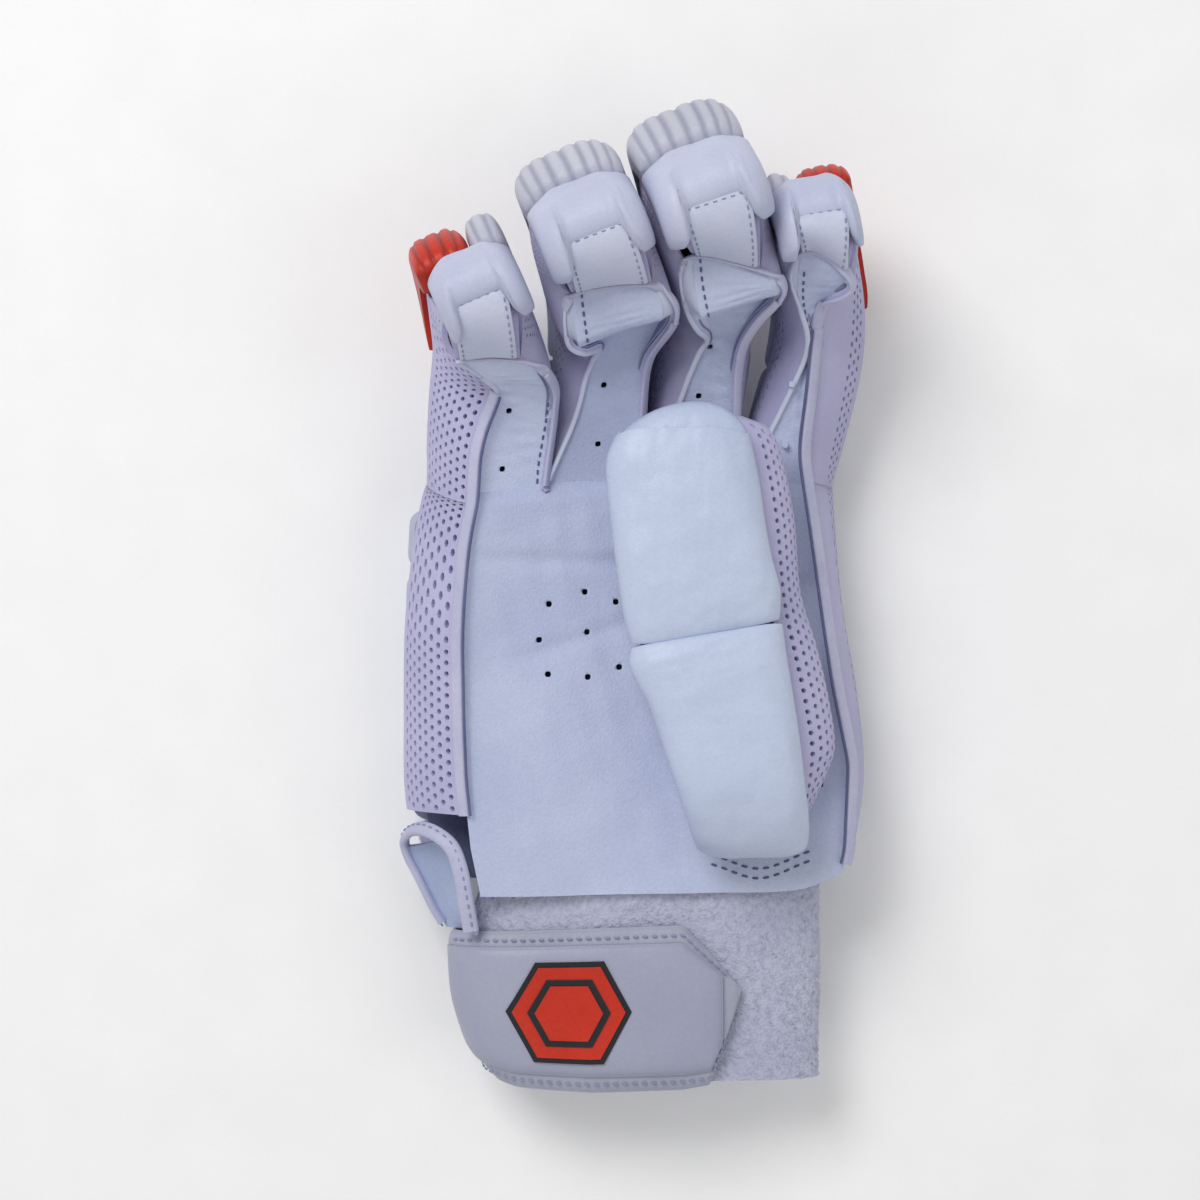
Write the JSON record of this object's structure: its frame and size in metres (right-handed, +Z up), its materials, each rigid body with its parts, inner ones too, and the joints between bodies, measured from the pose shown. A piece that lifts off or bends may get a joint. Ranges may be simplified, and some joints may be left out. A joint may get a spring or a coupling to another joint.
{
  "type": "cricket batting glove",
  "caption": "Right-hand cricket batting glove with padded finger rolls, a padded thumb, mesh sides, a leather palm and a strapped towelling cuff, lying palm up.",
  "frame": {"origin": "on the floor, under the middle of the glove's box, with the glove lying on its padded back, palm up", "axes": "+Y from the wrist to the fingertips, +X to the thumb side, +Z up out of the palm"},
  "size_m": [0.13, 0.2664, 0.0806],
  "materials": {
    "palm_leather": "matt pale blue-grey leather with vent holes",
    "padding_leather": "satin white synthetic leather over foam",
    "mesh_fabric": "perforated lilac-white spacer mesh",
    "piping": "satin bound edge",
    "lining": "matt woven lining",
    "red_leather": "satin red synthetic leather",
    "towelling": "looped towelling",
    "strap_leather": "smooth satin synthetic leather",
    "badge": "raised moulded badge, red and black"
  },
  "bodies": {
    "root": {"back_panel": "lining", "back_roll_knuckle": "padding_leather", "back_roll_middle": "padding_leather", "back_roll_wrist": "padding_leather", "cuff_towelling": "towelling", "index_knuckle_roll": "padding_leather", "index_lower_roll": "padding_leather", "index_piping": "piping", "index_pleated_roll": "red_leather", "index_side": "mesh_fabric", "index_tip_roll": "padding_leather", "index_tip_tab": "padding_leather", "little_knuckle_roll": "padding_leather", "little_lower_roll": "padding_leather", "little_piping": "piping", "little_pleated_roll": "red_leather", "little_ring_fourchette": "mesh_fabric", "little_side_mesh": "mesh_fabric", "little_strip": "palm_leather", "little_tip_roll": "padding_leather", "little_tip_tab": "padding_leather", "middle_index_fourchette": "mesh_fabric", "middle_knuckle_roll": "padding_leather", "middle_lower_roll": "padding_leather", "middle_piping": "piping", "middle_pleated_roll": "padding_leather", "middle_tip_roll": "padding_leather", "middle_tip_tab": "padding_leather", "palm_leather": "palm_leather", "ring_knuckle_roll": "padding_leather", "ring_lower_roll": "padding_leather", "ring_middle_fourchette": "mesh_fabric", "ring_piping": "piping", "ring_pleated_roll": "padding_leather", "ring_tip_roll": "padding_leather", "ring_tip_tab": "padding_leather", "slit_binding": "piping", "strap": "strap_leather", "strap_badge": "badge", "strap_panel": "strap_leather", "thumb_backing": "padding_leather", "thumb_inner_side": "padding_leather", "thumb_mesh_side": "mesh_fabric", "thumb_pad_lower": "padding_leather", "thumb_pad_upper": "padding_leather", "thumb_underside": "palm_leather", "wrist_pad": "padding_leather"}
  },
  "joints": []
}
